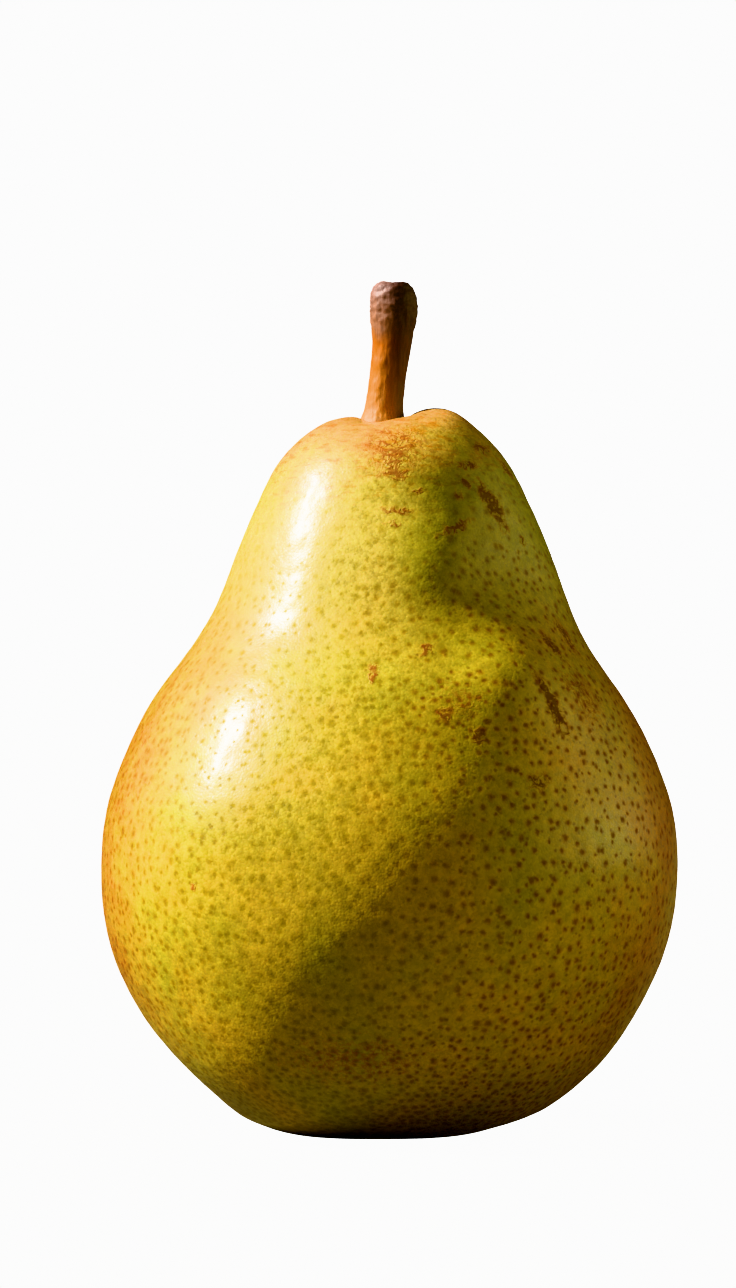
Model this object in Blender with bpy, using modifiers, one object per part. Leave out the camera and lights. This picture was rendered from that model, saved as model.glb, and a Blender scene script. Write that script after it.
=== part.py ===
"""A ripe pear standing on its blossom end, with its stalk and the withered calyx in its base.

Run it with: blender --background --python part.py
Metres, +Z up. The pear stands on the plane z = 0, and the Z axis runs up the middle of its belly.
Seven pieces are grown on the fruit: the stalk in its socket, and in the basin underneath the five
sepals and the tuft of withered stamens inside their ring.
"""

import math

import bpy
from mathutils import Vector

MM = 0.001
FIT_GAP = 0.3 * MM  # left between any two pieces that touch

# The fruit, as it would be turned about its own axis
BELLY_RADIUS = 38.0 * MM
CROWN_HEIGHT = 93.4 * MM
DIMPLE_DEPTH = 0.9 * MM
FOOT_OUTER_RADIUS = 13.4 * MM
FOOT_INNER_RADIUS = 8.6 * MM
BASIN_HEIGHT = 6.5 * MM
BASIN_FLOOR_RADIUS = 4.2 * MM
EYE_MOUTH_RADIUS = 2.5 * MM
EYE_RADIUS = 1.9 * MM
EYE_HEIGHT = 8.5 * MM

# The side of the fruit from crown to foot, as shares of the belly's radius and the crown's height
SIDE = (
    (0.150, 1.000),
    (0.335, 0.972),
    (0.490, 0.870),
    (0.645, 0.717),
    (0.868, 0.578),
    (1.000, 0.380),
    (0.876, 0.181),
    (0.570, 0.037),
)
BASIN_WALL_SHARE = 0.62  # height of the middle of the basin's wall, over the basin's height
TURN_STEPS = 64
OUTLINE_STEPS = 4  # straight pieces between two points of the outline
SMOOTH_ANGLE = math.radians(35.0)  # a sharper edge than this stays an edge

# How the grown fruit differs from the turned one
DEPTH_SHARE = 0.965  # front to back over side to side
FOOT_SHIFT = -1.2 * MM  # how far the foot and the basin lie to the left of the belly's middle
FOOT_SHIFT_FADE_HEIGHT = 3.5 * MM
NECK_LEAN = 0.6 * MM  # how far the neck leans to the right
NECK_LEAN_FROM = 0.40 * CROWN_HEIGHT
NECK_LEAN_TO = 0.85 * CROWN_HEIGHT
RIB_COUNT = 5
RIB_SHARE = 0.022  # swell of the ribs round the calyx, over the radius
RIB_FADE_HEIGHT = 26.0 * MM
RIB_TURN = math.radians(20.0)
# (azimuth in degrees, height, reach, swell) of each broad swelling or hollow on the side
SWELLINGS = (
    (0.0, 60.5 * MM, 6.5 * MM, -1.0 * MM),
    (0.0, 38.0 * MM, 10.0 * MM, 0.3 * MM),
    (180.0, 21.0 * MM, 8.0 * MM, 0.5 * MM),
    (180.0, 6.0 * MM, 6.0 * MM, -1.2 * MM),
    (-52.0, 62.0 * MM, 11.0 * MM, 0.5 * MM),
    (-100.0, 44.0 * MM, 13.0 * MM, -0.4 * MM),
    (150.0, 70.0 * MM, 13.0 * MM, -0.5 * MM),
    (20.0, 14.0 * MM, 12.0 * MM, 0.5 * MM),
    (70.0, 50.0 * MM, 16.0 * MM, -0.7 * MM),
    (110.0, 28.0 * MM, 14.0 * MM, 0.6 * MM),
    (205.0, 24.0 * MM, 12.0 * MM, -0.4 * MM),
    (95.0, 80.0 * MM, 12.0 * MM, 0.5 * MM),
)
SWELLING_FADE_HEIGHT = 8.0 * MM
# (sideways, towards the back, reach sideways, reach front to back, rise) of each lobe on the crown
CROWN_LOBES = (
    (6.8 * MM, 0.0 * MM, 3.9 * MM, 7.5 * MM, 2.1 * MM),
    (-6.6 * MM, 0.5 * MM, 3.9 * MM, 7.0 * MM, 0.9 * MM),
    (0.3 * MM, -6.0 * MM, 3.2 * MM, 3.2 * MM, 0.6 * MM),
    (1.4 * MM, 7.0 * MM, 3.6 * MM, 3.2 * MM, 0.5 * MM),
)
LOBES_FROM = 0.85 * CROWN_HEIGHT
LOBES_TO = 0.95 * CROWN_HEIGHT

# The stalk: (sideways, towards the back, height, radius) along its middle line
STALK_FOOT_HEIGHT = 91.2 * MM
STALK_FOOT_RADIUS = 2.55 * MM
STALK_LINE = (
    (-0.70 * MM, 0.0 * MM, STALK_FOOT_HEIGHT, STALK_FOOT_RADIUS),
    (-0.45 * MM, 0.0 * MM, 95.5 * MM, 2.50 * MM),
    (0.00 * MM, 0.1 * MM, 100.0 * MM, 2.45 * MM),
    (0.55 * MM, 0.2 * MM, 104.5 * MM, 2.75 * MM),
    (0.75 * MM, 0.2 * MM, 108.0 * MM, 3.25 * MM),
    (0.65 * MM, 0.2 * MM, 110.3 * MM, 3.00 * MM),
    (0.50 * MM, 0.2 * MM, 111.5 * MM, 1.90 * MM),
    (0.40 * MM, 0.2 * MM, 111.8 * MM, 0.70 * MM),
)
STALK_BEVEL_LEVEL = 8
STALK_STEPS = 4
# The socket stands upright, midway between the leaning stalk's middle at its foot and at the crown.
SOCKET_SIDE = -0.62 * MM
SOCKET_RADIUS = STALK_FOOT_RADIUS + FIT_GAP
SOCKET_SIDES = 32

# The calyx in the basin
SEPAL_COUNT = 5
SEPAL_TURN = math.radians(18.0)
SEPAL_ROOT_RADIUS = 2.5 * MM
SEPAL_ROOT_HEIGHT = 5.7 * MM
SEPAL_WIDTH = 2.6 * MM
SEPAL_THICKNESS = 0.45 * MM
SEPAL_LENGTHS = (4.5 * MM, 4.1 * MM, 4.8 * MM, 4.3 * MM, 3.9 * MM)
SEPAL_DROOPS = (30.0, 40.0, 26.0, 44.0, 36.0)  # degrees down from level, at the root
SEPAL_CURL = math.radians(50.0)  # further turn from root to tip
SEPAL_TIP_SHARE = 0.15  # the tip's width over the root's
SEPAL_GUTTER = 0.6  # how much lower the blade's edges hang than its middle, over its width
TUFT_HEIGHT = 2.6 * MM
TUFT_ROOT_RADIUS = EYE_RADIUS - FIT_GAP
TUFT_TIP_RADIUS = 1.15 * MM
TUFT_SIDES = 14


def remove_all_objects():
    for old in list(bpy.data.objects):
        bpy.data.objects.remove(old)


def collection_named(name):
    made = bpy.data.collections.new(name)
    bpy.context.scene.collection.children.link(made)
    return made


def move_to(obj, collection):
    for old in list(obj.users_collection):
        old.objects.unlink(obj)
    collection.objects.link(obj)


def material_of(name, colour, roughness):
    made = bpy.data.materials.new(name)
    made.use_nodes = True
    shader = made.node_tree.nodes["Principled BSDF"]
    shader.inputs["Base Color"].default_value = (*colour, 1.0)
    shader.inputs["Roughness"].default_value = roughness
    shader.inputs["Metallic"].default_value = 0.0
    return made


def smooth_step(low, high, value):
    share = min(1.0, max(0.0, (value - low) / (high - low)))
    return share * share * (3.0 - 2.0 * share)


def hump(distance):
    """1 at no distance, and nearly gone at a distance of 2."""
    return math.exp(-(distance**2))


def outline_points():
    """(radius, height, is a corner) from the dimple on the crown, down the side, to the eye."""
    points = [(0.0, CROWN_HEIGHT - DIMPLE_DEPTH, False)]
    points += [(r * BELLY_RADIUS, h * CROWN_HEIGHT, False) for r, h in SIDE]
    points += [
        (FOOT_OUTER_RADIUS, 0.0, True),
        (FOOT_INNER_RADIUS, 0.0, True),
        (0.5 * (FOOT_INNER_RADIUS + BASIN_FLOOR_RADIUS), BASIN_WALL_SHARE * BASIN_HEIGHT, False),
        (BASIN_FLOOR_RADIUS, BASIN_HEIGHT, False),
        (EYE_MOUTH_RADIUS, BASIN_HEIGHT, True),
        (EYE_RADIUS, EYE_HEIGHT, True),
        (0.0, EYE_HEIGHT, True),
    ]
    return points


def turned_mesh(name, outline):
    """The mesh of an outline in the XZ plane, turned once round the Z axis."""
    line = bpy.data.curves.new(name, "CURVE")
    line.dimensions = "3D"
    spline = line.splines.new("BEZIER")
    spline.bezier_points.add(len(outline) - 1)
    spline.resolution_u = OUTLINE_STEPS
    for knot, (radius, height, corner) in zip(spline.bezier_points, outline):
        knot.co = (radius, 0.0, height)
        knot.handle_left_type = knot.handle_right_type = "VECTOR" if corner else "AUTO"
    guide = bpy.data.objects.new(name, line)
    bpy.context.scene.collection.objects.link(guide)
    turn = guide.modifiers.new("Turn", "SCREW")
    turn.steps = turn.render_steps = TURN_STEPS
    turn.use_merge_vertices = True
    turn.merge_threshold = 0.01 * MM
    graph = bpy.context.evaluated_depsgraph_get()
    mesh = bpy.data.meshes.new_from_object(guide.evaluated_get(graph))
    bpy.data.objects.remove(guide)
    bpy.data.curves.remove(line)
    return mesh


def swell_at(radius, azimuth, height):
    """How far the skin stands out from the turned shape, or in from it."""
    rib = math.cos(RIB_COUNT * (azimuth - RIB_TURN))
    swell = RIB_SHARE * radius * rib * (1.0 - smooth_step(0.0, RIB_FADE_HEIGHT, height))
    above_foot = smooth_step(0.0, SWELLING_FADE_HEIGHT, height)
    for degrees, level, reach, amount in SWELLINGS:
        across = 2.0 * radius * math.sin(0.5 * (azimuth - math.radians(degrees)))
        swell += amount * hump(math.hypot(across, height - level) / reach) * above_foot
    # The basin and the eye keep their round shape, and so does the dimple under the stalk.
    return swell * smooth_step(BASIN_FLOOR_RADIUS, FOOT_INNER_RADIUS, radius)


def lift_at(x, y, height):
    """How far the lobes raise the crown."""
    lift = 0.0
    for side, back, reach_x, reach_y, rise in CROWN_LOBES:
        lift += rise * hump(math.hypot((x - side) / reach_x, (y - back) / reach_y))
    return lift * smooth_step(LOBES_FROM, LOBES_TO, height)


def shift_at(radius, height):
    """How far the skin is moved sideways: the basin and the foot to the left, the neck to the right."""
    in_basin = radius <= FOOT_INNER_RADIUS and height < 0.5 * CROWN_HEIGHT
    foot_share = 1.0 if in_basin else 1.0 - smooth_step(0.0, FOOT_SHIFT_FADE_HEIGHT, height)
    neck_share = smooth_step(NECK_LEAN_FROM, NECK_LEAN_TO, height)
    return FOOT_SHIFT * foot_share + NECK_LEAN * neck_share


def grown(point):
    """Where a point of the turned fruit lies on the grown one. The foot stays on z = 0."""
    radius = math.hypot(point.x, point.y)
    azimuth = math.atan2(point.y, point.x)
    reach = radius + swell_at(radius, azimuth, point.z)
    x = reach * math.cos(azimuth)
    y = reach * math.sin(azimuth) * DEPTH_SHARE
    return Vector((x + shift_at(radius, point.z), y, point.z + lift_at(x, y, point.z)))


def stalk_socket_cutter(helpers):
    """A round hole for the stalk's foot, with the fit gap all round and under it."""
    _, back, _, _ = STALK_LINE[0]
    depth = 2.0 * (CROWN_HEIGHT - STALK_FOOT_HEIGHT)
    bpy.ops.mesh.primitive_cylinder_add(
        vertices=SOCKET_SIDES,
        radius=SOCKET_RADIUS,
        depth=depth,
        location=(SOCKET_SIDE, back, STALK_FOOT_HEIGHT - FIT_GAP + depth / 2),
    )
    cutter = bpy.context.object
    cutter.name = "stalk_socket_cutter"
    cutter.hide_render = True
    cutter.display_type = "WIRE"
    move_to(cutter, helpers)
    return cutter


def make_fruit(pear, helpers, skin):
    """The one grown body of flesh and skin: turned, shaped, and hollowed for the stalk's foot."""
    mesh = turned_mesh("fruit", outline_points())
    for vertex in mesh.vertices:
        vertex.co = grown(vertex.co)
    mesh.materials.append(skin)
    fruit = bpy.data.objects.new("fruit", mesh)
    pear.objects.link(fruit)
    cut = fruit.modifiers.new("Stalk socket", "BOOLEAN")
    cut.operation = "DIFFERENCE"
    cut.solver = "EXACT"
    cut.object = stalk_socket_cutter(helpers)
    mesh.shade_smooth()
    mesh.set_sharp_from_angle(angle=SMOOTH_ANGLE)


def make_stalk(pear, bark):
    """The woody stalk: slim above its foot, and thickest at the knob where it left the spur."""
    line = bpy.data.curves.new("stalk", "CURVE")
    line.dimensions = "3D"
    line.bevel_depth = 1.0  # each point's own radius is the stalk's radius there
    line.bevel_resolution = STALK_BEVEL_LEVEL
    line.use_fill_caps = True
    line.materials.append(bark)
    spline = line.splines.new("BEZIER")
    spline.bezier_points.add(len(STALK_LINE) - 1)
    spline.resolution_u = STALK_STEPS
    for knot, (side, back, height, radius) in zip(spline.bezier_points, STALK_LINE):
        knot.co = (side, back, height)
        knot.radius = radius
        knot.handle_left_type = knot.handle_right_type = "AUTO"
    pear.objects.link(bpy.data.objects.new("stalk", line))


def make_sepal(number, pear, dry_leaf):
    """One withered sepal: a pointed blade that leaves the eye's rim, and curls down and inwards."""
    bpy.ops.mesh.primitive_grid_add(x_subdivisions=7, y_subdivisions=4, size=1.0)
    sepal = bpy.context.object
    sepal.name = f"sepal_{number + 1}"
    length = SEPAL_LENGTHS[number]
    droop = math.radians(SEPAL_DROOPS[number])
    for vertex in sepal.data.vertices:
        along = vertex.co.x + 0.5
        across = vertex.co.y
        width = SEPAL_WIDTH * (1.0 - (1.0 - SEPAL_TIP_SHARE) * along**1.5)
        # The mean of the turn so far gives the chord from the root to this point.
        mean_turn = droop + 0.5 * SEPAL_CURL * along
        vertex.co = Vector((
            SEPAL_ROOT_RADIUS + length * along * math.cos(mean_turn),
            width * across,
            SEPAL_ROOT_HEIGHT - length * along * math.sin(mean_turn) - SEPAL_GUTTER * width * across**2,
        ))
    sepal.location.x = FOOT_SHIFT
    sepal.rotation_euler.z = SEPAL_TURN + 2.0 * math.pi * number / SEPAL_COUNT
    sepal.data.materials.append(dry_leaf)
    thick = sepal.modifiers.new("Thickness", "SOLIDIFY")
    thick.thickness = SEPAL_THICKNESS
    thick.offset = 0.0
    sepal.data.shade_smooth()
    move_to(sepal, pear)


def make_stamen_tuft(pear, dry_thread):
    """The plug of withered stamens and styles that stands in the eye and shows between the sepals."""
    bpy.ops.mesh.primitive_cone_add(
        vertices=TUFT_SIDES,
        radius1=TUFT_TIP_RADIUS,
        radius2=TUFT_ROOT_RADIUS,
        depth=TUFT_HEIGHT,
        location=(FOOT_SHIFT, 0.0, EYE_HEIGHT - FIT_GAP - TUFT_HEIGHT / 2),
    )
    tuft = bpy.context.object
    tuft.name = "stamen_tuft"
    tuft.data.materials.append(dry_thread)
    move_to(tuft, pear)


def main():
    remove_all_objects()
    pear = collection_named("pear")
    helpers = collection_named("cutters")
    skin = material_of("waxy_skin", (0.62, 0.50, 0.07), 0.38)
    bark = material_of("stalk_bark", (0.20, 0.075, 0.02), 0.6)
    dry_leaf = material_of("withered_sepal", (0.06, 0.035, 0.02), 0.8)
    dry_thread = material_of("withered_stamen", (0.10, 0.05, 0.025), 0.85)
    make_fruit(pear, helpers, skin)
    make_stalk(pear, bark)
    for number in range(SEPAL_COUNT):
        make_sepal(number, pear, dry_leaf)
    make_stamen_tuft(pear, dry_thread)


main()
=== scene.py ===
"""The looks of a ripe pear: its spotted waxy skin, the woody stalk, and the withered calyx underneath.

Everything is in metres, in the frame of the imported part: +Z up, the pear on z = 0, its front to -Y.
"""

import functools
import math
import random

import bmesh
import bpy
import numpy as np
from mathutils import Euler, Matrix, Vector


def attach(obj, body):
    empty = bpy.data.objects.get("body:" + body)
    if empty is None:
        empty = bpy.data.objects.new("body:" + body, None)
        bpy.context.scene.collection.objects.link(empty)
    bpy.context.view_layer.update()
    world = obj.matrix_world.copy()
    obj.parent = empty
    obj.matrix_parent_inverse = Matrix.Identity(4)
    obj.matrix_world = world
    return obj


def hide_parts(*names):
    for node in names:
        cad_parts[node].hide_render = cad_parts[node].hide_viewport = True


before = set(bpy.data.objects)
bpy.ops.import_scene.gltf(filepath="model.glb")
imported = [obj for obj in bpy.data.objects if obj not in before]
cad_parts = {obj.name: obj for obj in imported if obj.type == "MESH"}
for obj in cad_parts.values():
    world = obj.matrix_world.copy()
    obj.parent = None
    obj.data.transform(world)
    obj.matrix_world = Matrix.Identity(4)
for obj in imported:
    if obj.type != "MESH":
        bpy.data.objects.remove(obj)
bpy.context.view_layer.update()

MM = 0.001

# Camera: level, with a long lens, a little to the left of the pear's middle
CAMERA_SIDE = -2.7 * MM
CAMERA_HEIGHT = 64.2 * MM
CAMERA_DISTANCE = 600.0 * MM
VIEW_HEIGHT = 170.0 * MM  # what the camera takes in at the pear, from top to bottom
SENSOR = 36.0

# Light: the direction from the pear to the key lamp, and the room's own light
KEY_DIRECTION = Vector((-0.77, -0.04, 0.61))
KEY_ACROSS = math.radians(4.5)
KEY_STRENGTH = 6.1
ROOM_DIM = 0.02
WALL_GLOW = 2.9  # added on the right, where a warm wall gives light back
WALL_SIDE = (0.99, 0.07, 0.0)
WALL_TINT = (1.0, 0.92, 0.55)
WALL_FALL_OFF = 7.0  # the higher, the narrower the wall
SEEN_ROOM = (1.7, 1.7, 1.7, 1.0)  # the pale room as the camera sees it
TABLE_BOUNCE = (0.172, 0.15, 0.092, 1.0)  # the table's tone in the light that it gives back
TABLE_TONE = (0.08, 0.08, 0.08, 1.0)
TABLE_GLOW = 1.6

# Places on the fruit
SKIN_GRAIN = 0.57 * MM  # size of the skin's faces
BELLY_MIDDLE = 38.0 * MM  # a point inside the belly that sees the whole outline
SOCKET_MIDDLE = Vector((-0.62 * MM, 0.0, 0.0))
SOCKET_RADIUS = 2.85 * MM
EYE_SIDE = -1.2 * MM  # the calyx and its basin lie a little to the left
STALK_FOOT = Vector((-0.62 * MM, 0.0, 93.5 * MM))


def linear(hex_colour):
    """A colour given as sRGB hex, as the linear values that a shader takes."""
    channels = [int(hex_colour[i : i + 2], 16) / 255.0 for i in (1, 3, 5)]
    return [c / 12.92 if c <= 0.04045 else ((c + 0.055) / 1.055) ** 2.4 for c in channels] + [1.0]


# Modelling


def only(piece):
    """Makes a piece the only selected and the active object."""
    if bpy.context.object and bpy.context.object.mode != "OBJECT":
        bpy.ops.object.mode_set(mode="OBJECT")
    bpy.ops.object.select_all(action="DESELECT")
    piece.select_set(True)
    bpy.context.view_layer.objects.active = piece


def finish_with(piece, kind, **settings):
    """Adds a modifier to a piece and applies it."""
    only(piece)
    made = piece.modifiers.new(kind.title(), kind)
    for name, value in settings.items():
        setattr(made, name, value)
    bpy.ops.object.modifier_apply(modifier=made.name)


def weather(piece, size, depth, middle=0.5, where="", stretch=(1.0, 1.0, 1.0)):
    """Moves a piece's surface in and out by soft lumps of the given size, stretched or not."""
    relief = bpy.data.textures.new("relief", "CLOUDS")
    relief.noise_scale = size
    guide = bpy.data.objects.new("guide", None)
    guide.scale = stretch
    bpy.context.scene.collection.objects.link(guide)
    bpy.context.view_layer.update()
    finish_with(
        piece, "DISPLACE", texture=relief, texture_coords="OBJECT", texture_coords_object=guide,
        strength=depth, mid_level=middle, vertex_group=where,
    )
    bpy.data.objects.remove(guide)
    bpy.data.textures.remove(relief)


def select_where(piece, mode, wanted):
    """In edit mode, selects only the vertices, edges or faces whose middle passes the test."""
    bpy.ops.mesh.select_mode(type=mode)
    bpy.ops.mesh.select_all(action="DESELECT")
    shape = bmesh.from_edit_mesh(piece.data)
    elements = {"VERT": shape.verts, "EDGE": shape.edges, "FACE": shape.faces}[mode]
    for element in elements:
        corners = [element] if mode == "VERT" else element.verts
        middle = sum((corner.co for corner in corners), Vector()) / len(corners)
        element.select_set(wanted(middle))
    bmesh.update_edit_mesh(piece.data)


def points_of(piece):
    """The places of a piece's vertices, one row each."""
    points = np.zeros(len(piece.data.vertices) * 3, np.float32)
    piece.data.vertices.foreach_get("co", points)
    return points.reshape(-1, 3).astype(float)


def group_by_height(piece, name, none_below, all_above):
    """A vertex group whose weight rises from nothing at one height to all at another."""
    group = piece.vertex_groups.new(name=name)
    for index, height in enumerate(points_of(piece)[:, 2]):
        weight = (height - none_below) / (all_above - none_below)
        group.add([index], min(1.0, max(0.0, weight)), "REPLACE")


# The fruit

# Soft pushes that make the form uneven, in mm: the place, the way it goes, and how far round it they
# reach. They lower the crown beside the stalk, raise its right lobe, swell the right shoulder of the
# belly twice, hollow the neck above it beside a soft ridge, and swell the foot of the neck on its left
# front and the belly's left cheek.
SOFT_PUSHES = (
    ((-1.4, -4.4, 93.2), (0.0, 0.0, -0.8), 5.0),
    ((-3.6, 3.2, 93.4), (0.0, 0.0, -0.8), 4.5),
    ((3.4, 0.0, 94.6), (0.0, 0.0, 0.8), 4.0),
    ((15.5, -22.0, 58.0), (0.6, -0.9, 0.3), 13.0),
    ((14.5, -24.0, 60.0), (0.3, -0.6, 0.15), 7.5),
    ((14.0, -14.0, 75.0), (-0.55, 0.7, -0.1), 11.0),
    ((4.0, -19.0, 75.0), (0.3, -0.85, 0.0), 8.5),
    ((-9.0, -18.0, 71.0), (-0.12, -0.27, 0.0), 7.0),
    ((-22.0, -27.0, 42.0), (-0.5, -0.7, 0.0), 15.0),
)


def model_skin():
    """The fruit's skin: the CAD form, rolled in snugly round the stalk, then grown uneven."""
    skin = bpy.data.objects.new("pear_skin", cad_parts["fruit"].data.copy())
    bpy.context.scene.collection.objects.link(skin)
    skin.data.materials.clear()
    only(skin)
    bpy.ops.object.mode_set(mode="EDIT")
    bpy.ops.mesh.select_all(action="SELECT")
    bpy.ops.mesh.remove_doubles(threshold=0.01 * MM)
    bpy.ops.mesh.tris_convert_to_quads(face_threshold=math.radians(40), shape_threshold=math.radians(60))
    roll_in_round_stalk(skin)
    for centre, push, reach in SOFT_PUSHES:
        push_softly(skin, Vector(centre) * MM, Vector(push) * MM, reach * MM)
    bpy.ops.object.mode_set(mode="OBJECT")
    finish_with(skin, "SUBSURF", levels=2, render_levels=2)
    finish_with(skin, "REMESH", mode="VOXEL", voxel_size=SKIN_GRAIN)
    finish_with(skin, "SMOOTH", factor=0.5, iterations=6)

    group_by_height(skin, "off_the_foot", 0.3 * MM, 4.3 * MM)
    weather(skin, 16.0 * MM, 0.2 * MM, middle=0.2, where="off_the_foot")
    weather(skin, 5.0 * MM, 0.1 * MM, where="off_the_foot")
    weather(skin, 2.2 * MM, 0.11 * MM, where="off_the_foot")
    skin.vertex_groups.clear()
    grown = skin.data.attributes.new("growth", "FLOAT", "POINT")
    grown.data.foreach_set("value", growth_at(points_of(skin)).astype(np.float32))
    bpy.ops.object.shade_smooth()
    return skin


def roll_in_round_stalk(skin):
    """Takes out the straight socket wall and rolls the crown's skin in and down round the stalk."""
    select_where(
        skin, "FACE",
        lambda middle: middle.z > 2 * BELLY_MIDDLE and (middle - SOCKET_MIDDLE).xy.length < SOCKET_RADIUS,
    )
    bpy.ops.mesh.delete(type="FACE")
    bpy.ops.mesh.select_mode(type="EDGE")
    bpy.ops.mesh.select_all(action="DESELECT")
    bpy.ops.mesh.select_non_manifold(extend=False)
    for narrower, lower in ((0.93, -0.25), (0.93, -0.7), (0.95, -1.6)):
        bpy.ops.mesh.extrude_region_move(TRANSFORM_OT_translate={"value": (0, 0, lower * MM)})
        bpy.ops.transform.resize(value=(narrower, narrower, 1.0), center_override=SOCKET_MIDDLE)
    bpy.ops.mesh.edge_face_add()
    bpy.ops.mesh.poke()


def push_softly(skin, centre, push, reach):
    """Moves the skin's nearest vertex, and the skin round it less and less with distance."""
    shape = bmesh.from_edit_mesh(skin.data)
    nearest = min(shape.verts, key=lambda corner: (corner.co - centre).length)
    place = nearest.co.copy()
    select_where(skin, "VERT", lambda middle: (middle - place).length < 0.01 * MM)
    bpy.ops.transform.translate(
        value=push, use_proportional_edit=True, proportional_size=reach, proportional_edit_falloff="SMOOTH",
    )


def growth_at(points):
    """How far along its outline each point of the skin has grown, counted in radii of the fruit there.

    Spots form while the fruit is small and drift apart as it swells, so they lie widest apart on the
    belly and close together at both ends. On a map of azimuth against this length they stay round.
    """
    across = np.hypot(points[:, 0], points[:, 1])
    turn = np.arctan2(across, points[:, 2] - BELLY_MIDDLE)
    steps = np.linspace(0.0, math.pi, 181)
    place = np.digitize(turn, steps) - 1
    counts = np.maximum(np.bincount(place, minlength=len(steps)), 1)
    radius = np.bincount(place, weights=across, minlength=len(steps)) / counts
    height = np.bincount(place, weights=points[:, 2], minlength=len(steps)) / counts
    length = np.hypot(np.diff(radius), np.diff(height))
    radius_between = np.maximum(0.5 * (radius[1:] + radius[:-1]), 3.0 * MM)
    grown = np.concatenate([[0.0], np.cumsum(length / radius_between)])
    return np.interp(turn, steps, grown)


# The stalk

# Places up the stalk, in mm: height, lean to the right, lean to the back, and radius
STALK_LINE = (
    (92.4, -0.85, 0.0, 3.6),
    (93.5, -0.80, 0.0, 3.1),
    (94.6, -0.68, 0.0, 2.72),
    (96.2, -0.48, 0.0, 2.52),
    (98.4, -0.22, 0.1, 2.44),
    (101.0, 0.10, 0.1, 2.46),
    (103.4, 0.40, 0.2, 2.62),
    (105.5, 0.60, 0.2, 2.88),
    (107.3, 0.72, 0.2, 3.15),
    (109.0, 0.74, 0.2, 3.27),
    (110.5, 0.66, 0.2, 3.08),
    (111.6, 0.55, 0.2, 2.5),
)
STALK_SIDES = 20


def model_stalk():
    """The woody stalk: a leaning shoot, swollen at the knob where it came off the spur."""
    bpy.ops.object.select_all(action="DESELECT")
    height, right, back, radius = (value * MM for value in STALK_LINE[0])
    bpy.ops.mesh.primitive_circle_add(
        vertices=STALK_SIDES, radius=radius, fill_type="NGON", location=(right, back, height)
    )
    stalk = bpy.context.object
    stalk.name = "stalk_bark"
    bpy.ops.object.transform_apply()
    bpy.ops.object.mode_set(mode="EDIT")
    bpy.ops.mesh.select_all(action="SELECT")
    for below, above in zip(STALK_LINE, STALK_LINE[1:]):
        step = [(b - a) * MM for a, b in zip(below, above)]
        bpy.ops.mesh.extrude_region_move(TRANSFORM_OT_translate={"value": (step[1], step[2], step[0])})
        middle = (above[1] * MM, above[2] * MM, above[0] * MM)
        wider = above[3] / below[3]
        bpy.ops.transform.resize(value=(wider, wider, 1.0), center_override=middle)
    # The scar on top: a rim, a step down, and a shallow dish
    for wider, lower in ((0.72, 0.42), (0.86, -0.2), (0.5, -0.22)):
        bpy.ops.mesh.extrude_region_move(TRANSFORM_OT_translate={"value": (0, 0, lower * MM)})
        bpy.ops.transform.resize(value=(wider, wider, 1.0), center_override=middle)
    bpy.ops.mesh.poke()
    bpy.ops.mesh.select_all(action="SELECT")
    bpy.ops.mesh.normals_make_consistent(inside=False)
    bpy.ops.object.mode_set(mode="OBJECT")
    finish_with(stalk, "SUBSURF", levels=3, render_levels=3)
    weather(stalk, 2.2 * MM, 0.28 * MM)
    weather(stalk, 0.55 * MM, 0.09 * MM, stretch=(1.0, 1.0, 6.0))
    weather(stalk, 0.6 * MM, 0.05 * MM)
    # The knob's bark is wrinkled across
    group_by_height(stalk, "knob", 104.5 * MM, 108.0 * MM)
    weather(stalk, 0.8 * MM, 0.3 * MM, where="knob", stretch=(1.5, 1.5, 0.7))
    stalk.vertex_groups.clear()
    bpy.ops.object.shade_smooth()
    return stalk


# The calyx

SEPAL_COUNT = 5
SEPAL_ROOT = 2.3 * MM
SEPAL_HEIGHT = 5.9 * MM
SEPAL_LENGTHS = (4.5, 4.1, 4.8, 4.3, 3.9)
SEPAL_DROOPS = (30.0, 40.0, 26.0, 44.0, 36.0)
SEPAL_WIDTH = 2.6 * MM
SEPAL_NARROWING = (1.12, 1.0, 0.93, 0.86, 0.78, 0.66, 0.4)
STAMENS = 20


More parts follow.
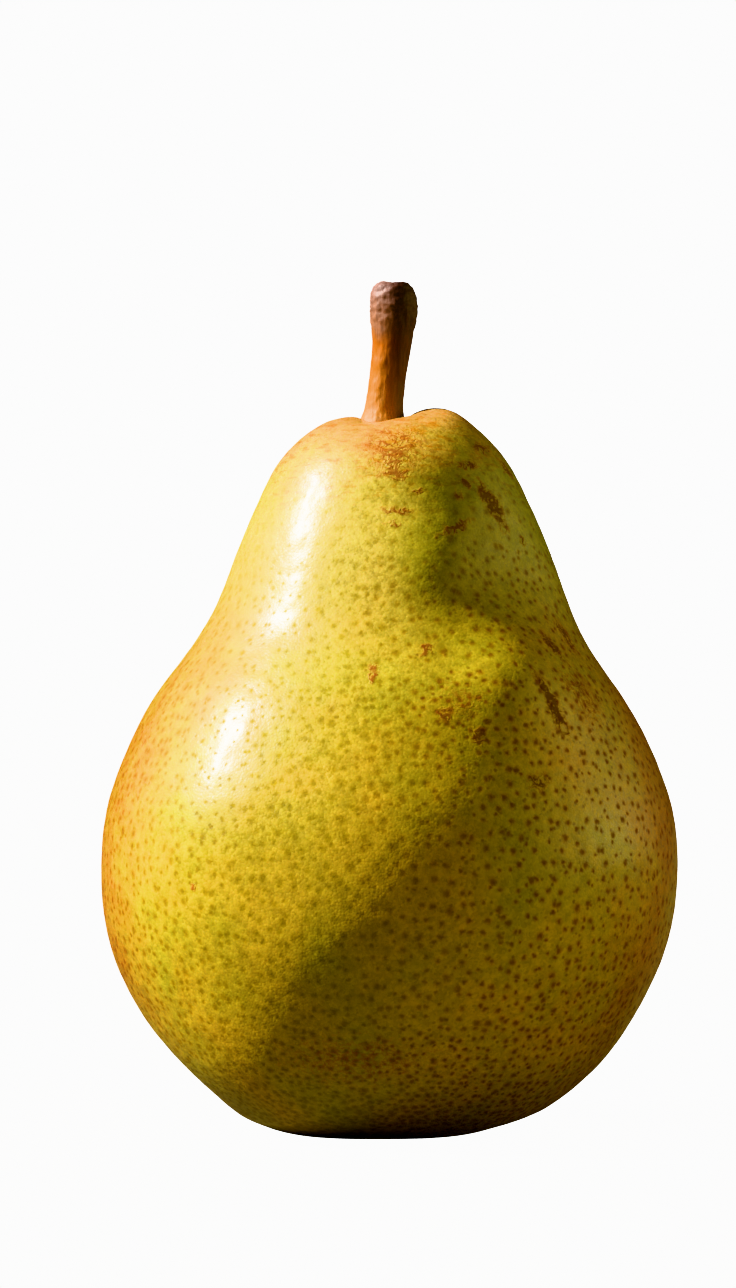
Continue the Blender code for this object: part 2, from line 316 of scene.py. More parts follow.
def model_sepal(number):
    """One withered sepal: a narrow papery tongue that droops out over the basin and curls at its tip."""
    rng = random.Random(40 + number)
    azimuth = math.radians(18.0 + 72.0 * number)
    stride_length = SEPAL_LENGTHS[number] * MM / len(SEPAL_NARROWING)
    out = Vector((math.cos(azimuth), math.sin(azimuth), 0.0))
    side = Vector((-out.y, out.x, 0.0))
    root = Vector((EYE_SIDE, 0.0, SEPAL_HEIGHT)) + out * SEPAL_ROOT
    bpy.ops.object.select_all(action="DESELECT")
    bpy.ops.mesh.primitive_plane_add(size=1.0, location=root, rotation=(0.0, 0.0, azimuth))
    sepal = bpy.context.object
    sepal.name = f"withered_sepal_{number + 1}"
    sepal.scale = (0.35 * MM, 0.8 * SEPAL_WIDTH, 1.0)
    bpy.ops.object.transform_apply()
    bpy.ops.object.mode_set(mode="EDIT")
    select_where(sepal, "EDGE", lambda middle: (middle - root).dot(out) > 0.1 * MM)
    droop = math.radians(-SEPAL_DROOPS[number])
    at = root + out * 0.175 * MM
    for step, narrower in enumerate(SEPAL_NARROWING):
        droop += math.radians(-3.0 if step < 3 else 12.0)
        stride = (out * math.cos(droop) + Vector((0, 0, math.sin(droop)))) * stride_length
        stride += side * rng.uniform(-0.12, 0.12) * MM
        at = at + stride
        bpy.ops.mesh.extrude_region_move(TRANSFORM_OT_translate={"value": stride})
        bpy.ops.transform.resize(value=(narrower, narrower, narrower), center_override=at)
        bpy.ops.transform.rotate(
            value=rng.uniform(-0.22, 0.22), orient_axis="X", orient_type="GLOBAL", center_override=at
        )
    bpy.ops.object.mode_set(mode="OBJECT")
    finish_with(sepal, "SUBSURF", levels=2, render_levels=2, subdivision_type="SIMPLE")
    weather(sepal, 1.1 * MM, 0.7 * MM)
    finish_with(sepal, "SOLIDIFY", thickness=0.28 * MM, offset=0.0)
    finish_with(sepal, "SUBSURF", levels=1, render_levels=1)
    bpy.ops.object.shade_smooth()
    return sepal


def model_stamens():
    """The dried stamens that still stand in the eye: thin bent threads, each with the husk of its anther."""
    rng = random.Random(7)
    threads = []
    for number in range(STAMENS):
        azimuth = number * math.radians(137.5)
        out = Vector((math.cos(azimuth), math.sin(azimuth), 0.0))
        foot = Vector((EYE_SIDE, 0.0, 8.0 * MM)) + out * 1.25 * MM * math.sqrt((number + 0.5) / STAMENS)
        bpy.ops.object.select_all(action="DESELECT")
        bpy.ops.mesh.primitive_circle_add(vertices=6, radius=0.1 * MM, fill_type="NGON", location=foot)
        thread = bpy.context.object
        bpy.ops.object.transform_apply()
        bpy.ops.object.mode_set(mode="EDIT")
        bpy.ops.mesh.select_all(action="SELECT")
        at = foot.copy()
        lean = out * rng.uniform(0.05, 0.3) + Vector((rng.uniform(-0.2, 0.2), rng.uniform(-0.2, 0.2), 0.0))
        for wider, drop in ((0.85, 0.55), (0.95, 0.55), (1.0, 0.5), (2.6, 0.12), (1.15, 0.3), (0.45, 0.16)):
            stride = (lean * drop - Vector((0, 0, drop))) * MM
            lean += Vector((rng.uniform(-0.25, 0.25), rng.uniform(-0.25, 0.25), 0.0))
            at = at + stride
            bpy.ops.mesh.extrude_region_move(TRANSFORM_OT_translate={"value": stride})
            bpy.ops.transform.resize(value=(wider, wider, 1.0), center_override=at)
        bpy.ops.mesh.select_all(action="SELECT")
        bpy.ops.mesh.normals_make_consistent(inside=False)
        bpy.ops.object.mode_set(mode="OBJECT")
        threads.append(thread)
    for thread in threads:
        thread.select_set(True)
    bpy.context.view_layer.objects.active = threads[0]
    bpy.ops.object.join()
    tuft = bpy.context.object
    tuft.name = "dried_stamens"
    bpy.ops.object.shade_smooth()
    return tuft


# Materials


def add_node(tree, kind, inputs=None, **settings):
    """Adds a node, sets its properties, and fills its inputs with values or with other nodes' outputs."""
    made = tree.nodes.new(kind)
    for name, value in settings.items():
        setattr(made, name, value)
    for name, value in (inputs or {}).items():
        if isinstance(value, bpy.types.Node):
            value = value.outputs[0]
        if isinstance(value, bpy.types.NodeSocket):
            tree.links.new(value, made.inputs[name])
        else:
            made.inputs[name].default_value = value
    return made


def new_material(name):
    """An empty Principled material: the material, what adds a node to it, and its shader."""
    made = bpy.data.materials.new(name)
    made.use_nodes = True
    return made, functools.partial(add_node, made.node_tree), made.node_tree.nodes["Principled BSDF"]


# Russet marks on the skin, in mm and degrees: azimuth from the front towards the right, height,
# half width, half height, tilt clockwise, and how solid the cork is
RUSSET_MARKS = (
    (2.0, 90.0, 8.5, 8.5, 0.0, 0.58),
    (3.0, 88.2, 2.6, 5.6, 0.0, 0.64),
    (2.0, 88.6, 4.6, 1.2, 0.0, 0.66),
    (3.0, 86.0, 3.6, 1.2, 0.0, 0.7),
    (3.0, 81.4, 3.8, 1.0, 0.0, 0.68),
    (1.0, 79.6, 2.0, 0.8, 0.0, 0.6),
    (12.0, 84.0, 1.3, 0.8, 0.0, 0.85),
    (26.0, 79.0, 4.4, 0.9, -20.0, 0.85),
    (40.0, 87.5, 3.4, 1.0, -5.0, 0.75),
    (31.0, 83.6, 1.2, 1.4, 0.0, 0.7),
    (36.0, 85.0, 1.3, 1.2, 0.0, 0.75),
    (58.0, 89.6, 2.8, 1.8, 0.0, 0.75),
    (70.0, 87.0, 1.8, 3.0, -30.0, 0.7),
    (60.0, 77.6, 1.3, 1.3, 0.0, 0.7),
    (47.0, 82.4, 2.0, 6.0, -20.0, 0.9),
    (51.0, 63.6, 1.9, 4.8, -18.0, 0.8),
    (62.0, 65.0, 2.2, 5.0, -15.0, 0.7),
    (40.0, 56.6, 1.8, 7.2, -18.0, 0.95),
    (52.0, 58.0, 7.0, 9.0, -20.0, 0.48),
    (10.0, 63.4, 1.4, 1.6, 0.0, 0.85),
    (-4.5, 60.5, 1.1, 2.2, 0.0, 0.9),
    (18.0, 57.0, 8.0, 6.5, 0.0, 0.36),
    (13.0, 55.4, 1.6, 1.8, 0.0, 0.85),
    (20.0, 52.8, 1.5, 2.0, 0.0, 1.0),
    (32.0, 46.9, 3.0, 2.0, 0.0, 0.7),
    (-41.0, 33.7, 0.8, 1.0, 0.0, 0.9),
    (-8.0, 12.0, 20.0, 6.5, 0.0, 0.42),
    (150.0, 75.0, 3.0, 5.0, 20.0, 0.8),
    (205.0, 52.0, 5.0, 2.5, -25.0, 0.75),
    (240.0, 70.0, 1.6, 4.5, 15.0, 0.9),
    (110.0, 40.0, 4.0, 3.0, 10.0, 0.6),
    (190.0, 89.0, 5.0, 4.0, 0.0, 0.75),
)


def surface_at(skin, azimuth, height):
    """The point of the skin at an azimuth from the front and a height."""
    out = Vector((math.sin(azimuth), -math.cos(azimuth), 0.0))
    start = out * 3 * BELLY_MIDDLE + Vector((0.0, 0.0, height))
    return skin.ray_cast(start, -out)[1]


def russet(add, mm, skin):
    """Cork that grew where the young skin was rubbed or cracked: where it may lie, and how thick it is."""
    warp = add("ShaderNodeTexNoise", {"Vector": mm, "Scale": 1 / 2.2, "Detail": 3.0})
    shift = add("ShaderNodeVectorMath", {0: warp.outputs["Color"], 1: (0.5, 0.5, 0.5)}, operation="SUBTRACT")
    push = add("ShaderNodeVectorMath", {0: shift, "Scale": 2.2}, operation="SCALE")
    bent = add("ShaderNodeVectorMath", {0: mm, 1: push}, operation="ADD")
    total = None
    for azimuth, height, wide, tall, tilt, solid in RUSSET_MARKS:
        azimuth = math.radians(azimuth)
        centre = surface_at(skin, azimuth, height * MM) / MM
        local = add("ShaderNodeMapping", {
            "Vector": bent,
            "Location": centre,
            "Rotation": Euler((0.0, math.radians(tilt), azimuth)),
            "Scale": (wide, max(wide, tall), tall),
        }, vector_type="TEXTURE")
        patch = add("ShaderNodeTexGradient", {"Vector": local}, gradient_type="SPHERICAL")
        mark = add("ShaderNodeMapRange", {"Value": patch.outputs["Fac"], "From Max": 0.8, "To Max": solid})
        total = mark if total is None else add("ShaderNodeMath", {0: total, 1: mark}, operation="MAXIMUM")
    # A net of fine cracks, level ones and upright ones, which shows first where the cork is thin
    level = add("ShaderNodeVectorMath", {0: bent, 1: (0.35, 0.35, 1.1)}, operation="MULTIPLY")
    upright = add("ShaderNodeVectorMath", {0: bent, 1: (1.1, 1.1, 0.35)}, operation="MULTIPLY")
    rows = add("ShaderNodeTexNoise", {"Vector": level, "Scale": 1.0, "Detail": 2.0})
    columns = add("ShaderNodeTexNoise", {"Vector": upright, "Scale": 1.0, "Detail": 2.0})
    off_row = add("ShaderNodeMath", {0: rows, 1: 0.5}, operation="SUBTRACT")
    off_column = add("ShaderNodeMath", {0: columns, 1: 0.5}, operation="SUBTRACT")
    nearer = add("ShaderNodeMath", {
        0: add("ShaderNodeMath", {0: off_row}, operation="ABSOLUTE"),
        1: add("ShaderNodeMath", {0: off_column}, operation="ABSOLUTE"),
    }, operation="MINIMUM")
    net = add("ShaderNodeMapRange", {
        "Value": nearer, "From Min": 0.08, "From Max": 0.0, "To Min": 1.15, "To Max": 2.7,
    })
    crumbs = add("ShaderNodeTexNoise", {"Vector": mm, "Scale": 1 / 0.75, "Detail": 3.0, "Roughness": 0.65})
    cover = add("ShaderNodeMath", {0: total, 1: net}, operation="MULTIPLY")
    over = add("ShaderNodeMath", {0: crumbs, 1: 1.4, 2: cover}, operation="MULTIPLY_ADD")
    corky = add("ShaderNodeMapRange", {
        "Value": over, "From Min": 1.1, "From Max": 2.3,
    }, interpolation_type="SMOOTHSTEP")
    return total, corky


# Layers of spots: how many fit in one radius of the fruit, between which growths they lie, and a
# shift that gives each layer a layout of its own
SPOT_LAYERS = (
    (5.5, -1.0, 2.9, 0.0),
    (9.0, 2.9, 3.7, 5.0),
    (13.0, 3.7, 4.45, 11.0),
    (20.5, 4.45, 6.5, 17.0),
    (11.0, 6.5, 9.0, 23.0),
)


def nearest_spot(add, mm, axes):
    """Millimetres from each point of the skin to its nearest breathing spot, less where the spot is big."""
    backward = add("ShaderNodeMath", {0: axes.outputs["Y"], 1: -1.0}, operation="MULTIPLY")
    azimuth = add("ShaderNodeMath", {0: axes.outputs["X"], 1: backward}, operation="ARCTAN2")
    flat = add("ShaderNodeVectorMath", {0: mm, 1: (1.0, 1.0, 0.0)}, operation="MULTIPLY")
    radius = add("ShaderNodeVectorMath", {0: flat}, operation="LENGTH").outputs["Value"]
    growth = add("ShaderNodeAttribute", attribute_name="growth").outputs["Fac"]
    straight = add("ShaderNodeCombineXYZ", {"X": azimuth, "Y": growth})
    wobble = add("ShaderNodeTexNoise", {"Vector": mm, "Scale": 1 / 0.7, "Detail": 1.0})
    centred = add("ShaderNodeVectorMath", {
        0: wobble.outputs["Color"], 1: (0.5, 0.5, 0.5),
    }, operation="SUBTRACT")
    nudge = add("ShaderNodeVectorMath", {0: centred, "Scale": 0.016}, operation="SCALE")
    skin_map = add("ShaderNodeVectorMath", {0: straight, 1: nudge}, operation="ADD")
    nearest = None
    for per_radius, first, last, shift in SPOT_LAYERS:
        moved = add("ShaderNodeVectorMath", {0: skin_map, 1: (shift, shift, 0.0)}, operation="ADD")
        cells = add("ShaderNodeTexVoronoi", {
            "Vector": moved, "Scale": per_radius, "Randomness": 0.84,
        }, voronoi_dimensions="2D")
        seed = add("ShaderNodeVectorMath", {
            0: cells.outputs["Position"], 1: (shift, shift, 0.0),
        }, operation="SUBTRACT")
        seed_axes = add("ShaderNodeSeparateXYZ", {0: seed})
        round_back = add("ShaderNodeMath", {0: seed_axes.outputs["X"]}, operation="ABSOLUTE")
        off_seam = add("ShaderNodeMath", {
            0: round_back, 1: math.pi - 0.45 / per_radius,
        }, operation="GREATER_THAN")
        in_layer = add("ShaderNodeMath", {
            0: seed_axes.outputs["Y"], 1: 0.5 * (first + last), 2: 0.5 * (last - first),
        }, operation="COMPARE")
        missing = add("ShaderNodeMath", {0: off_seam, 1: in_layer}, operation="SUBTRACT")
        scaled = add("ShaderNodeMath", {0: cells.outputs["Distance"], 1: radius}, operation="MULTIPLY")
        distance = add("ShaderNodeMath", {0: scaled, 1: per_radius}, operation="DIVIDE")
        spread = add("ShaderNodeMath", {0: cells.outputs["Color"], 1: 0.7, 2: 0.5}, operation="MULTIPLY_ADD")
        sized = add("ShaderNodeMath", {0: distance, 1: spread}, operation="DIVIDE")
        away = add("ShaderNodeMath", {0: missing, 1: 10.0, 2: 10.0}, operation="MULTIPLY_ADD")
        far = add("ShaderNodeMath", {0: away, 1: sized}, operation="ADD")
        nearest = far if nearest is None else add("ShaderNodeMath", {0: nearest, 1: far}, operation="MINIMUM")
    return nearest


def waxy_skin(skin):
    """Pear skin: yellow, ripened out of green, blushed where the sun reached it, with corky breathing spots.

    A thin natural wax gives it a soft bright gloss, broken up by the uneven cells under it.
    """
    material, add, shader = new_material("waxy_pear_skin")
    place = add("ShaderNodeTexCoord")
    mm = add("ShaderNodeVectorMath", {0: place.outputs["Object"], "Scale": 1000.0}, operation="SCALE")
    axes = add("ShaderNodeSeparateXYZ", {0: mm})

    # Ground: patches of riper and greener skin about 22 mm and 6 mm across
    wide = add("ShaderNodeTexNoise", {"Vector": mm, "Scale": 1 / 22.0, "Detail": 2.0})
    close = add("ShaderNodeTexNoise", {"Vector": mm, "Scale": 1 / 6.0, "Detail": 4.0, "Roughness": 0.6})
    patches = add("ShaderNodeMath", {0: close, 1: 0.45, 2: wide}, operation="MULTIPLY_ADD")
    ripe = add("ShaderNodeMapRange", {"Value": patches, "From Min": 0.55, "From Max": 0.88})
    ground = add("ShaderNodeMixRGB", {"Fac": ripe, "Color1": linear("#C0B246"), "Color2": linear("#E0BE50")})

    # The neck stays paler and greener. Its right side, the shaded one, is greener and much darker: a green
    # tint with painted shade in it
    up_neck = add("ShaderNodeMapRange", {
        "Value": axes.outputs["Z"], "From Min": 52.0, "From Max": 76.0, "To Max": 0.65,
    }, interpolation_type="SMOOTHSTEP")
    to_right = add("ShaderNodeMath", {0: wide, 1: 30.0, 2: axes.outputs["X"]}, operation="MULTIPLY_ADD")
    greener_shaded_side = add("ShaderNodeMapRange", {
        "Value": to_right, "From Min": 14.0, "From Max": 26.0,
    }, interpolation_type="SMOOTHSTEP")
    neck = add("ShaderNodeMixRGB", {"Fac": greener_shaded_side, "Color1": linear("#DECA6C"), "Color2": linear("#9CA23C")})
    necked = add("ShaderNodeMixRGB", {"Fac": up_neck, "Color1": ground, "Color2": neck})

    # Blush on the sides and back of the belly, which the sun reached
    backward = add("ShaderNodeMath", {
        0: axes.outputs["X"], 1: 0.1, 2: axes.outputs["Y"],
    }, operation="MULTIPLY_ADD")
    sunward = add("ShaderNodeMath", {0: close, 1: 26.0, 2: backward}, operation="MULTIPLY_ADD")
    turned = add("ShaderNodeMapRange", {
        "Value": sunward, "From Min": -16.0, "From Max": 7.0, "To Max": 0.85,
    }, interpolation_type="SMOOTHSTEP")
    below_neck = add("ShaderNodeMapRange", {
        "Value": axes.outputs["Z"], "From Min": 78.0, "From Max": 50.0,
    }, interpolation_type="SMOOTHSTEP")
    above_foot = add("ShaderNodeMapRange", {
        "Value": axes.outputs["Z"], "From Min": 8.0, "From Max": 24.0, "To Min": 0.35,
    }, interpolation_type="SMOOTHSTEP")
    belt = add("ShaderNodeMath", {0: below_neck, 1: above_foot}, operation="MULTIPLY")
    uneven = add("ShaderNodeMapRange", {"Value": wide, "From Min": 0.36, "From Max": 0.56, "To Min": 0.5})
    patch = add("ShaderNodeMath", {0: turned, 1: uneven}, operation="MULTIPLY")
    blush = add("ShaderNodeMath", {0: patch, 1: belt}, operation="MULTIPLY")
    blushed = add("ShaderNodeMixRGB", {"Fac": blush, "Color1": necked, "Color2": linear("#B4741E")})

    # The crown goes tan round the stalk
    from_stalk = add("ShaderNodeVectorMath", {0: mm, 1: STALK_FOOT / MM}, operation="DISTANCE")
    ragged = add("ShaderNodeMath", {
        0: close, 1: -12.0, 2: from_stalk.outputs["Value"],
    }, operation="MULTIPLY_ADD")
    tan = add("ShaderNodeMapRange", {
        "Value": ragged, "From Min": 14.0, "From Max": 1.0, "To Max": 0.95,
    }, interpolation_type="SMOOTHSTEP")
    crowned = add("ShaderNodeMixRGB", {"Fac": tan, "Color1": blushed, "Color2": linear("#E2AC68")})

    # Level flecks round the crown, where the skin was drawn in towards the stalk
    drawn = add("ShaderNodeVectorMath", {0: mm, 1: (0.42, 0.42, 1.7)}, operation="MULTIPLY")
    strokes = add("ShaderNodeTexNoise", {"Vector": drawn, "Scale": 1.0, "Detail": 3.0, "Roughness": 0.6})
    on_crown = add("ShaderNodeMapRange", {
        "Value": axes.outputs["Z"], "From Min": 77.0, "From Max": 88.0, "To Max": 0.75,
    }, interpolation_type="SMOOTHSTEP")
    stroke = add("ShaderNodeMapRange", {
        "Value": strokes, "From Min": 0.52, "From Max": 0.66,
    }, interpolation_type="SMOOTHSTEP")
    fleck_share = add("ShaderNodeMath", {0: stroke, 1: on_crown}, operation="MULTIPLY")
    flecked = add("ShaderNodeMixRGB", {
        "Fac": fleck_share, "Color1": crowned, "Color2": linear("#ECC888"),
    }, blend_type="MULTIPLY")

    # A sandy grain, drawn about 0.35 mm across where the real one is finer, and its coarser clumps
    grains = add("ShaderNodeTexVoronoi", {"Vector": mm, "Scale": 1 / 0.35})
    clumps = add("ShaderNodeTexNoise", {"Vector": mm, "Scale": 1 / 1.3, "Detail": 3.0})
    mottle = add("ShaderNodeMath", {0: grains.outputs["Color"], 1: 0.45, 2: clumps}, operation="MULTIPLY_ADD")
    tone = add("ShaderNodeMapRange", {
        "Value": mottle, "From Min": 0.42, "From Max": 1.02, "To Min": 0.78, "To Max": 1.22,
    })
    mottled = add("ShaderNodeVectorMath", {0: flecked, "Scale": tone}, operation="SCALE")

    # Breathing spots: a soft olive ring about 1.4 mm across and a corky core of about 0.6 mm.
    # They are brown where there is russet, and browner and darker towards the right side, the shaded one,
    # which is partly painted shade; they are orange where there is blush and towards the left side.
    spot = nearest_spot(add, mm, axes)
    rusting, corky = russet(add, mm, skin)
    ring = add("ShaderNodeMapRange", {
        "Value": spot, "From Min": 0.82, "From Max": 0.1, "To Max": 0.9,
    }, interpolation_type="SMOOTHSTEP")
    core = add("ShaderNodeMapRange", {
        "Value": spot, "From Min": 0.52, "From Max": 0.06,
    }, interpolation_type="SMOOTHSTEP")
    shy = add("ShaderNodeMapRange", {
        "Value": axes.outputs["Z"], "From Min": 94.0, "From Max": 62.0, "To Min": 0.3,
    }, interpolation_type="SMOOTHSTEP")
    rightward = add("ShaderNodeMath", {0: close, 1: 24.0, 2: axes.outputs["X"]}, operation="MULTIPLY_ADD")
    browner_toward_shade = add("ShaderNodeMapRange", {
        "Value": rightward, "From Min": 2.0, "From Max": 32.0,
    }, interpolation_type="SMOOTHSTEP")
    oranger = add("ShaderNodeMapRange", {
        "Value": rightward, "From Min": 0.0, "From Max": -22.0, "To Max": 0.45,
    }, interpolation_type="SMOOTHSTEP")
    sideward = add("ShaderNodeMath", {0: browner_toward_shade, 1: oranger}, operation="ADD")
    warmer = add("ShaderNodeMath", {0: blush, 1: 0.7, 2: sideward}, operation="MULTIPLY_ADD", use_clamp=True)
    rusty = add("ShaderNodeMath", {0: rusting, 1: 2.0, 2: warmer}, operation="MULTIPLY_ADD", use_clamp=True)
    cork = add("ShaderNodeMixRGB", {"Fac": rusty, "Color1": linear("#9C861E"), "Color2": linear("#7C4A1E")})
    depth = add("ShaderNodeMapRange", {"Value": rusty, "To Min": 0.28, "To Max": 0.6})
    ring_share = add("ShaderNodeMath", {0: ring, 1: shy}, operation="MULTIPLY")
    pore = add("ShaderNodeMath", {0: core, 1: shy}, operation="MULTIPLY")
    core_share = add("ShaderNodeMath", {0: pore, 1: depth}, operation="MULTIPLY")
    halo = add("ShaderNodeMixRGB", {"Fac": warmer, "Color1": linear("#DAD79A"), "Color2": linear("#DCBA80")})
    ringed = add("ShaderNodeMixRGB", {
        "Fac": ring_share, "Color1": mottled, "Color2": halo,
    }, blend_type="MULTIPLY")
    spotted = add("ShaderNodeMixRGB", {"Fac": core_share, "Color1": ringed, "Color2": cork})

    # Tiny specks of cork between the spots, most of them on the right
    dust = add("ShaderNodeTexVoronoi", {"Vector": mm, "Scale": 1 / 1.2})
    speck = add("ShaderNodeMapRange", {
        "Value": dust.outputs["Distance"], "From Min": 0.3, "From Max": 0.08,
    }, interpolation_type="SMOOTHSTEP")
    some = add("ShaderNodeMapRange", {"Value": rusty, "To Min": 0.12, "To Max": 0.6})
    scarcer = add("ShaderNodeMath", {0: some, 1: shy}, operation="MULTIPLY")
    speck_share = add("ShaderNodeMath", {0: speck, 1: scarcer}, operation="MULTIPLY")
    specked = add("ShaderNodeMixRGB", {"Fac": speck_share, "Color1": spotted, "Color2": cork})

    # Russet, orange where it is thin and brown where it is thick, darker on the right, the shaded side:
    # partly painted shade
    thick = add("ShaderNodeMixRGB", {
        "Fac": browner_toward_shade, "Color1": linear("#AC5A26"), "Color2": linear("#703812"),
    })
    rust = add("ShaderNodeMixRGB", {"Fac": corky, "Color1": linear("#D08238"), "Color2": thick})
    rust_share = add("ShaderNodeMath", {0: corky, 1: 0.8}, operation="MULTIPLY")
    rusted = add("ShaderNodeMixRGB", {"Fac": rust_share, "Color1": specked, "Color2": rust})
    link = material.node_tree.links.new
    link(rusted.outputs[0], shader.inputs["Base Color"])

    # Finish: waxy where clean, dull where corky
    patchy = add("ShaderNodeMapRange", {
        "Value": grains.outputs["Color"], "From Min": 0.2, "From Max": 0.8, "To Min": 0.4, "To Max": 0.58,
    })
    bare = add("ShaderNodeMath", {0: corky, 1: pore}, operation="MAXIMUM")
    dull = add("ShaderNodeMath", {0: bare, 1: 0.25, 2: patchy}, operation="MULTIPLY_ADD")
    link(dull.outputs[0], shader.inputs["Roughness"])
    wax = add("ShaderNodeMapRange", {"Value": bare, "To Min": 0.57, "To Max": 0.0})
    link(wax.outputs[0], shader.inputs["Coat Weight"])
    shader.inputs["IOR"].default_value = 1.45
    shader.inputs["Coat Roughness"].default_value = 0.23
    shader.inputs["Coat IOR"].default_value = 1.45
    shader.inputs["Subsurface Weight"].default_value = 0.08
    shader.inputs["Subsurface Radius"].default_value = (1.0, 0.6, 0.12)
    shader.inputs["Subsurface Scale"].default_value = 1.2 * MM

    # Relief: the cells' grain, the pits of the spots, and the cork that stands proud
    pit = add("ShaderNodeMapRange", {"Value": spot, "From Min": 0.1, "From Max": 0.9, "To Max": 0.3})
    grain = add("ShaderNodeMath", {0: grains.outputs["Distance"], 1: -0.5, 2: pit}, operation="MULTIPLY_ADD")
    pores = add("ShaderNodeMath", {0: clumps, 1: 0.6, 2: grain}, operation="MULTIPLY_ADD")
    raised = add("ShaderNodeMath", {0: corky, 1: 0.9, 2: pores}, operation="MULTIPLY_ADD")
    bump = add("ShaderNodeBump", {"Height": raised, "Strength": 1.0, "Distance": 0.04 * MM})
    link(bump.outputs[0], shader.inputs["Normal"])
    # The wax fills the relief, and its surface shows less of it
    filled = add("ShaderNodeBump", {"Height": raised, "Strength": 0.3, "Distance": 0.04 * MM})
    link(filled.outputs[0], shader.inputs["Coat Normal"])
    return material


# Colours up the stalk, from its foot to its knob
STALK_TONES = (
    (0.0, "#D09A58"),
    (0.14, "#C88A40"),
    (0.4, "#C07C2A"),
    (0.56, "#BC7010"),
    (0.68, "#A87858"),
    (1.0, "#987468"),
)


def stalk_wood():
    """Young pear wood: fleshy and tan at its foot, orange where the bark is thin, grey-brown at the knob,
    with painted shade darkening its right side.
    """
    material, add, shader = new_material("young_pear_wood_bark")
    place = add("ShaderNodeTexCoord")
    mm = add("ShaderNodeVectorMath", {0: place.outputs["Object"], "Scale": 1000.0}, operation="SCALE")
    axes = add("ShaderNodeSeparateXYZ", {0: mm})
    coarse = add("ShaderNodeTexNoise", {"Vector": mm, "Scale": 1 / 2.0, "Detail": 3.0})
    height = add("ShaderNodeMath", {0: coarse, 1: 3.0, 2: axes.outputs["Z"]}, operation="MULTIPLY_ADD")
    along = add("ShaderNodeMapRange", {"Value": height, "From Min": 95.0, "From Max": 113.0})
    bands = add("ShaderNodeValToRGB", {"Fac": along})
    stops = bands.color_ramp.elements
    stops.remove(stops[-1])
    for number, (position, tone) in enumerate(STALK_TONES):
        stop = stops[0] if number == 0 else stops.new(position)
        stop.position = position
        stop.color = linear(tone)
    fibres = add("ShaderNodeVectorMath", {0: mm, 1: (1.0, 1.0, 0.16)}, operation="MULTIPLY")
    streaks = add("ShaderNodeTexNoise", {
        "Vector": fibres, "Scale": 1 / 0.45, "Detail": 3.0, "Roughness": 0.6,
    })
    tone = add("ShaderNodeMapRange", {
        "Value": streaks, "From Min": 0.3, "From Max": 0.7, "To Min": 0.7, "To Max": 1.15,
    })
    streaked = add("ShaderNodeVectorMath", {0: bands, "Scale": tone}, operation="SCALE")
    # Painted shade: the right side, which the key light does not reach, is darkened in the colour
    toward_shade = add("ShaderNodeMath", {0: streaks, 1: 1.6, 2: axes.outputs["X"]}, operation="MULTIPLY_ADD")
    dark = add("ShaderNodeMapRange", {
        "Value": toward_shade, "From Min": 0.5, "From Max": 2.2, "To Max": 0.8,
    }, interpolation_type="SMOOTHSTEP")
    painted_shade = add("ShaderNodeMixRGB", {
        "Fac": dark, "Color1": streaked, "Color2": linear("#6A4A34"),
    }, blend_type="MULTIPLY")
    link = material.node_tree.links.new
    link(painted_shade.outputs[0], shader.inputs["Base Color"])
    shader.inputs["Roughness"].default_value = 0.55
    bump = add("ShaderNodeBump", {"Height": streaks, "Strength": 1.0, "Distance": 0.08 * MM})
    link(bump.outputs[0], shader.inputs["Normal"])
    return material


def withered_paper(name, pale, dark):
    """Dead plant tissue, dried brown and brittle: matte, with paler veins and nearly black folds."""
    material, add, shader = new_material(name)
    place = add("ShaderNodeTexCoord")
    mm = add("ShaderNodeVectorMath", {0: place.outputs["Object"], "Scale": 1000.0}, operation="SCALE")
    folds = add("ShaderNodeTexNoise", {"Vector": mm, "Scale": 1 / 0.5, "Detail": 4.0})
    share = add("ShaderNodeMapRange", {"Value": folds, "From Min": 0.35, "From Max": 0.65})
    colour = add("ShaderNodeMixRGB", {"Fac": share, "Color1": linear(dark), "Color2": linear(pale)})
    link = material.node_tree.links.new
    link(colour.outputs[0], shader.inputs["Base Color"])
    shader.inputs["Roughness"].default_value = 0.85
    bump = add("ShaderNodeBump", {"Height": folds, "Strength": 1.0, "Distance": 0.1 * MM})
    link(bump.outputs[0], shader.inputs["Normal"])
    return material


# The stage


def set_camera():
    """The camera, level and straight ahead of the pear's front."""
    lens = bpy.data.cameras.new("Camera")
    lens.sensor_width = SENSOR
    lens.lens = SENSOR * CAMERA_DISTANCE / VIEW_HEIGHT
    lens.clip_start = 0.01
    lens.clip_end = 100.0
    camera = bpy.data.objects.new("Camera", lens)
    camera.location = (CAMERA_SIDE, -CAMERA_DISTANCE, CAMERA_HEIGHT)
    camera.rotation_euler = (math.radians(90.0), 0.0, 0.0)
    bpy.context.scene.collection.objects.link(camera)
    bpy.context.scene.camera = camera


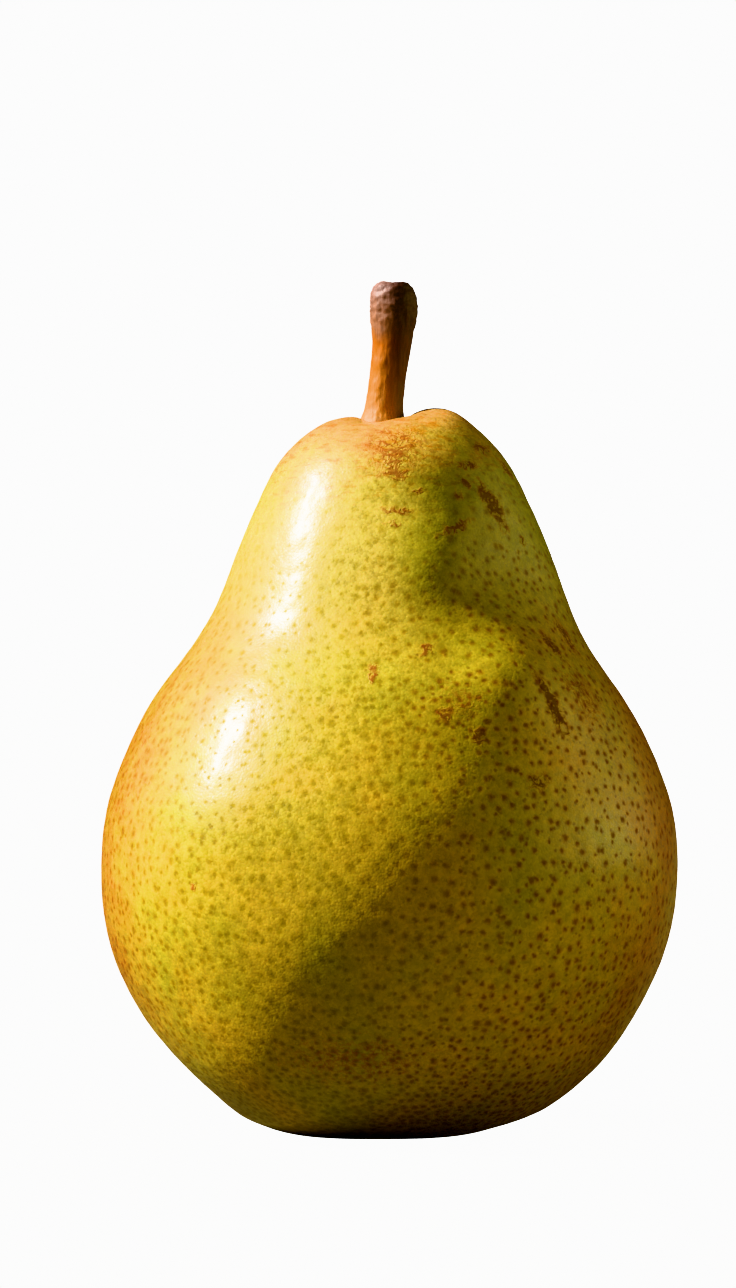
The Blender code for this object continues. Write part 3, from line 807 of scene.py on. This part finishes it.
def set_light():
    """A key light high on the left, a dim pale room, and a warm glow from the room's right side."""
    key = bpy.data.lights.new("key", "SUN")
    key.energy = KEY_STRENGTH
    key.angle = KEY_ACROSS
    lamp = bpy.data.objects.new("key", key)
    lamp.rotation_euler = KEY_DIRECTION.to_track_quat("Z", "Y").to_euler()
    bpy.context.scene.collection.objects.link(lamp)

    room = bpy.data.worlds.new("pale_room")
    room.use_nodes = True
    add = functools.partial(add_node, room.node_tree)
    direction = add("ShaderNodeTexCoord").outputs["Generated"]
    rightward = add("ShaderNodeVectorMath", {0: direction, 1: WALL_SIDE}, operation="DOT_PRODUCT")
    facing = add("ShaderNodeMath", {0: rightward.outputs["Value"], 1: 0.0}, operation="MAXIMUM")
    wall = add("ShaderNodeMath", {0: facing, 1: WALL_FALL_OFF}, operation="POWER")
    warm = add("ShaderNodeVectorMath", {0: WALL_TINT, "Scale": wall}, operation="SCALE")
    glow = add("ShaderNodeVectorMath", {0: warm, "Scale": WALL_GLOW}, operation="SCALE")
    light = add("ShaderNodeVectorMath", {0: glow, 1: (ROOM_DIM, ROOM_DIM, ROOM_DIM)}, operation="ADD")
    rays = add("ShaderNodeLightPath")
    seen = add("ShaderNodeMixRGB", {
        "Fac": rays.outputs["Is Camera Ray"], "Color1": light, "Color2": SEEN_ROOM,
    })
    room.node_tree.links.new(seen.outputs[0], room.node_tree.nodes["Background"].inputs["Color"])
    bpy.context.scene.world = room
    bpy.context.scene.view_settings.view_transform = "Khronos PBR Neutral"
    bpy.context.scene.view_settings.look = "High Contrast"


def lay_floor():
    """A pale table top, lit from within. It gives little light back, so the pear stays dark underneath."""
    bpy.ops.object.select_all(action="DESELECT")
    bpy.ops.mesh.primitive_plane_add(size=20.0)
    floor = bpy.context.object
    floor.name = "floor"
    material, add, shader = new_material("pale_table")
    rays = add("ShaderNodeLightPath")
    tone = add("ShaderNodeMixRGB", {
        "Fac": rays.outputs["Is Camera Ray"], "Color1": TABLE_BOUNCE, "Color2": TABLE_TONE,
    })
    glow = add("ShaderNodeMath", {0: rays.outputs["Is Camera Ray"], 1: TABLE_GLOW}, operation="MULTIPLY")
    link = material.node_tree.links.new
    link(tone.outputs[0], shader.inputs["Base Color"])
    link(glow.outputs[0], shader.inputs["Emission Strength"])
    shader.inputs["Emission Color"].default_value = (1.0, 1.0, 1.0, 1.0)
    shader.inputs["Roughness"].default_value = 0.9
    shader.inputs["Specular IOR Level"].default_value = 0.0
    floor.data.materials.append(material)


def place_piece(piece, material, node):
    """Gives a finished piece its material, attaches it to the root body, and hides the CAD node that it
    stands for.
    """
    piece.data.materials.clear()
    piece.data.materials.append(material)
    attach(piece, "root")
    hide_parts(node)


def build():
    """Sets the stage, then models each piece, gives it its material and hides the CAD node that it stands
    for.
    """
    set_camera()
    set_light()
    lay_floor()
    skin = model_skin()
    place_piece(skin, waxy_skin(skin), "fruit")
    place_piece(model_stalk(), stalk_wood(), "stalk")
    papery = withered_paper("withered_papery_sepal", "#8A6238", "#2E1B0C")
    for number in range(SEPAL_COUNT):
        place_piece(model_sepal(number), papery, f"sepal_{number + 1}")
    thready = withered_paper("withered_stamen_thread", "#6B4A28", "#1E1108")
    place_piece(model_stamens(), thready, "stamen_tuft")


build()
